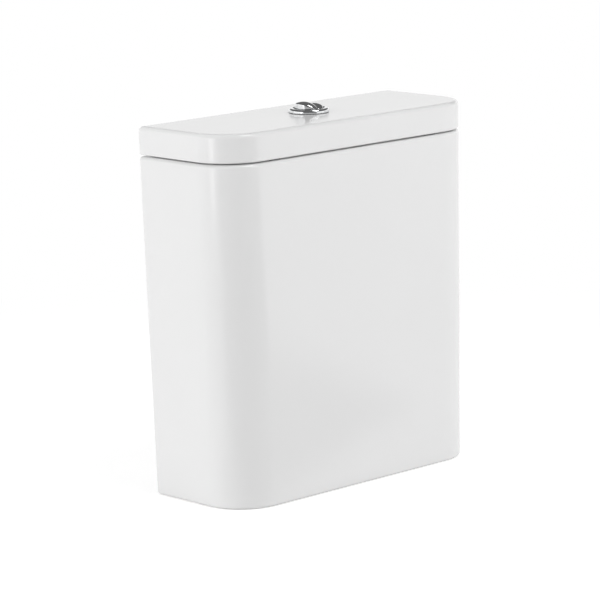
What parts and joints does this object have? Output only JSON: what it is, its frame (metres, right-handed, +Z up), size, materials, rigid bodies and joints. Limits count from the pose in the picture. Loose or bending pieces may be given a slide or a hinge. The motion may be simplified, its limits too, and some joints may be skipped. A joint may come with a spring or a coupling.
{
  "type": "toilet cistern",
  "caption": "Close-coupled ceramic toilet cistern with a lift-off lid, chromed dual push button, lever-lifted flush valve and float-operated bottom fill valve.",
  "frame": {"origin": "middle of the base, on the plane of the foot", "axes": "+X to the right as seen from the front, -Y towards the front, +Z up"},
  "size_m": [0.3654, 0.139, 0.4052],
  "materials": {
    "china": "gloss",
    "chrome": "polished",
    "white_plastic": "satin",
    "clear_grey_plastic": "gloss",
    "blue_plastic": "satin",
    "grey_plastic": "satin",
    "black_rubber": "matte",
    "grey_rubber": "matte",
    "red_silicone": "satin",
    "foam": "matte",
    "spring_steel": "polished",
    "zinc_steel": "satin",
    "brass": "satin"
  },
  "bodies": {
    "cistern": {"tank": "china", "flush_valve_base": "white_plastic", "flush_valve_washer": "black_rubber", "flush_valve_back_nut": "white_plastic", "coupling_washer": "black_rubber", "valve_cage": "white_plastic", "tower_columns": "white_plastic", "lever_bridge": "white_plastic", "lever_pins": "zinc_steel", "fill_valve_body": "white_plastic", "fill_valve_washer": "black_rubber", "fill_valve_back_nut": "white_plastic", "inlet_filter": "brass", "height_sleeve": "white_plastic", "height_lock_ring": "blue_plastic", "fill_valve_head": "white_plastic", "fill_diaphragm": "black_rubber", "fill_valve_cap": "blue_plastic", "silencer_tube": "clear_grey_plastic", "float_lever_pin": "zinc_steel", "fixing_bolts": "zinc_steel", "bolt_rubber_washers": "black_rubber", "bolt_steel_washers": "zinc_steel", "bolt_nuts": "zinc_steel"},
    "lid_assembly": {"lid": "china", "lid_pads": "grey_rubber", "button_gasket": "black_rubber", "button_bezel": "chrome", "button_bezel_nut": "white_plastic", "full_button_spring": "spring_steel", "half_button_spring": "spring_steel"},
    "full_button": {"full_flush_button": "chrome", "full_push_rod": "white_plastic"},
    "half_button": {"half_flush_button": "chrome", "half_push_rod": "white_plastic"},
    "full_lever": {"full_flush_lever": "blue_plastic"},
    "half_lever": {"half_flush_lever": "grey_plastic"},
    "flush_stem": {"overflow_tube": "white_plastic", "flush_seal": "red_silicone", "seal_retainer": "white_plastic", "lift_collar": "white_plastic", "full_lift_rod": "blue_plastic"},
    "half_float": {"half_flush_float": "foam", "half_lift_rod": "grey_plastic"},
    "fill_float": {"foam_float": "foam", "float_link_rod": "white_plastic"},
    "fill_lever": {"float_lever": "white_plastic"}
  },
  "joints": [
    {"name": "lid_lift", "type": "slide", "parent": "cistern", "child": "lid_assembly", "axis": [0, 0, 1], "range_m": [0, 0.12]},
    {"name": "full_button_press", "type": "slide", "parent": "lid_assembly", "child": "full_button", "axis": [0, 0, -1], "range_m": [0, 0.008], "stiffness_N_per_m": 300, "springref_m": -0.004, "deforming": ["full_button_spring"]},
    {"name": "half_button_press", "type": "slide", "parent": "lid_assembly", "child": "half_button", "axis": [0, 0, -1], "range_m": [0, 0.008], "stiffness_N_per_m": 300, "springref_m": -0.004, "deforming": ["half_button_spring"]},
    {"name": "full_lever_rock", "type": "hinge", "parent": "cistern", "child": "full_lever", "pos_m": [-0.023, 0.003, 0.318], "axis": [0, 1, 0], "range_deg": [0, 33]},
    {"name": "half_lever_rock", "type": "hinge", "parent": "cistern", "child": "half_lever", "pos_m": [0.023, 0.003, 0.318], "axis": [0, -1, 0], "range_deg": [0, 33]},
    {"name": "flush_stem_lift", "type": "slide", "parent": "cistern", "child": "flush_stem", "axis": [0, 0, 1], "range_m": [0, 0.0103]},
    {"name": "half_float_lift", "type": "slide", "parent": "cistern", "child": "half_float", "axis": [0, 0, 1], "range_m": [0, 0.0103]},
    {"name": "fill_float_rise", "type": "slide", "parent": "cistern", "child": "fill_float", "axis": [0, 0, 1], "range_m": [0, 0.012]},
    {"name": "fill_lever_tilt", "type": "hinge", "parent": "cistern", "child": "fill_lever", "pos_m": [0.12701, 0, 0.3035], "axis": [0, 1, 0], "range_deg": [0, 16.5]}
  ],
  "couplings": [
    {"joint": "full_lever_rock", "follows": "full_button_press", "rad_per_m": 71.429},
    {"joint": "flush_stem_lift", "follows": "full_button_press", "ratio": 1.2857},
    {"joint": "half_lever_rock", "follows": "half_button_press", "rad_per_m": 71.429},
    {"joint": "half_float_lift", "follows": "half_button_press", "ratio": 1.2857},
    {"joint": "fill_lever_tilt", "follows": "fill_float_rise", "rad_per_m": 23.81}
  ]
}
